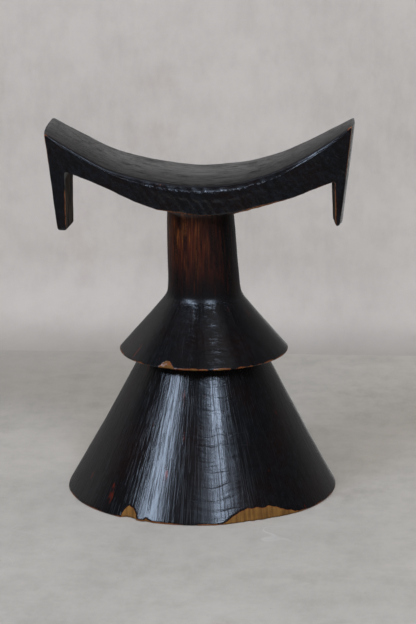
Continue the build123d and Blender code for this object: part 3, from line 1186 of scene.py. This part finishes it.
WALL_PLACE = 278.0              # how far behind the stem the paper turns up
COVE_RADIUS = 45.0
WALL_HEIGHT = 900.0
WALL_REACH = 1500.0             # to either side
FLOOR_REACH = 9000.0
FLOOR_COLORS = (0.42, 0.394, 0.352, 1), (0.545, 0.51, 0.458, 1), (0.355, 0.32, 0.275, 1)
WALL_COLORS = (0.565, 0.515, 0.465, 1), (0.69, 0.632, 0.572, 1), (0.545, 0.46, 0.41, 1)
PAPER_SHADE = (0.30, 0.285, 0.265, 1)
SCRATCH_PALE = (0.62, 0.60, 0.57, 1)
SPECK_DARK = (0.16, 0.13, 0.11, 1)


def paper_material(name, colors, shade, scratched):
    """Mottled matt paper in a dark, a light and a stain colour, shaded by place.

    Its back is clear, so that it hides nothing from behind or below.
    """
    dark, light, stain = colors
    material, start = new_material(name)
    place = place_in_mm(start)
    clouds = place.noise(0.011, 4.0, 0.6).between(0.3, 0.7)
    flecks = place.noise(0.06, 5.0, 0.7).between(0.35, 0.65)
    color = (clouds * 0.6 + flecks * 0.4).blend(dark, light)
    color = (place.noise(0.02, 5.0, 0.65).between(0.56, 0.72) * 0.5).blend(color, stain)
    parts = place.parts()
    brushed = long_noise(parts, (0.16, 0.05, 0.05), 5.0, 0.7).between(0.36, 0.66)
    color = (brushed * 0.35).blend(color, light)
    patches = place.noise(0.009, 2.0).between(0.45, 0.62)
    off_curve = start.math("ABSOLUTE", place.noise(0.013, 1.5, 0.4) - 0.5)
    hair_line = off_curve.between(0.0, 0.0011, 1.0, 0.0)
    color = (hair_line * patches * scratched).blend(color, SCRATCH_PALE)
    specks = place.noise(0.35, 2.0, 0.5).between(0.735, 0.765)
    color = (specks * scratched * 0.6).blend(color, SPECK_DARK)
    color = shade(*parts).blend(color, PAPER_SHADE)
    sockets = {"Base Color": color, "Roughness": 0.9, "Specular IOR Level": 0.1}
    paper = start.node("ShaderNodeBsdfPrincipled", None, sockets)
    behind = start.node("ShaderNodeNewGeometry", out="Backfacing")
    clear = start.node("ShaderNodeBsdfTransparent")
    surface = start.node("ShaderNodeMixShader", None, {0: behind, 1: paper, 2: clear})
    start.node("ShaderNodeOutputMaterial", None, {"Surface": surface})
    return material


def floor_shade(x, y, z):
    """The floor is darker at the back, to the left."""
    return y.between(40.0, 200.0, 0.0, 0.40) * x.between(-120.0, 60.0, 1.0, 0.0)


def wall_shade(x, y, z):
    """The wall is darker where it turns up from the floor."""
    return z.between(-5.0, 60.0, 0.26, 0.0) + z.between(0.0, 14.0, 0.30, 0.0)


def make_papers():
    """A wide pale floor, and a paper wall that rises from it behind the object."""
    build = bmesh.new()
    bmesh.ops.create_circle(build, cap_ends=True, segments=96, radius=FLOOR_REACH * MM)
    floor_mesh = bpy.data.meshes.new("floor")
    build.to_mesh(floor_mesh)
    build.free()
    floor_mesh.materials.append(paper_material("floor_paper", FLOOR_COLORS, floor_shade, 0.55))
    cove_centre = (WALL_PLACE - COVE_RADIUS, COVE_RADIUS + 0.05)
    section = quarter(cove_centre, COVE_RADIUS, -90, 0, 12)
    section += [(WALL_PLACE, cove_centre[1]), (WALL_PLACE, WALL_HEIGHT)]
    points, faces = [], []
    for y, z in section:
        points += [(-WALL_REACH * MM, y * MM, z * MM), (WALL_REACH * MM, y * MM, z * MM)]
    for i in range(len(section) - 1):
        faces.append((2 * i, 2 * i + 1, 2 * i + 3, 2 * i + 2))
    wall_mesh = bpy.data.meshes.new("wall")
    wall_mesh.from_pydata(points, [], faces)
    wall_mesh.shade_smooth()
    wall_mesh.materials.append(paper_material("wall_paper", WALL_COLORS, wall_shade, 0.0))
    for name, mesh in (("floor", floor_mesh), ("wall", wall_mesh)):
        stage = link(name, mesh)
        stage.visible_glossy = False


# ---- all of it ------------------------------------------------------------------------------
def main():
    tree = turned_tree()
    round_polish, long_polish, brown = turned_patina(), saddle_patina(), stem_polish()
    left_flap, saddle, right_flap, underside = make_saddle(long_polish)
    foot = make_foot(tree, round_polish)
    skirt, stem = make_skirt_and_stem(
        tree, round_polish, brown, lambda x: np.interp(x, underside[:, 0], underside[:, 1]))
    for piece, node, slot in (
        (foot, "base_cone", "black_patina"),
        (skirt, "upper_skirt", "black_patina"),
        (stem, "stem", "handled_brown"),
        (saddle, "saddle", "black_patina"),
        (left_flap, "left_end_flap", "black_patina"),
        (right_flap, "right_end_flap", "black_patina"),
    ):
        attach(piece, BODY)
        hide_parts(node)
    make_papers()
    make_world()
    make_lights()
    make_camera()
    bpy.context.scene.view_settings.view_transform = "Standard"


main()
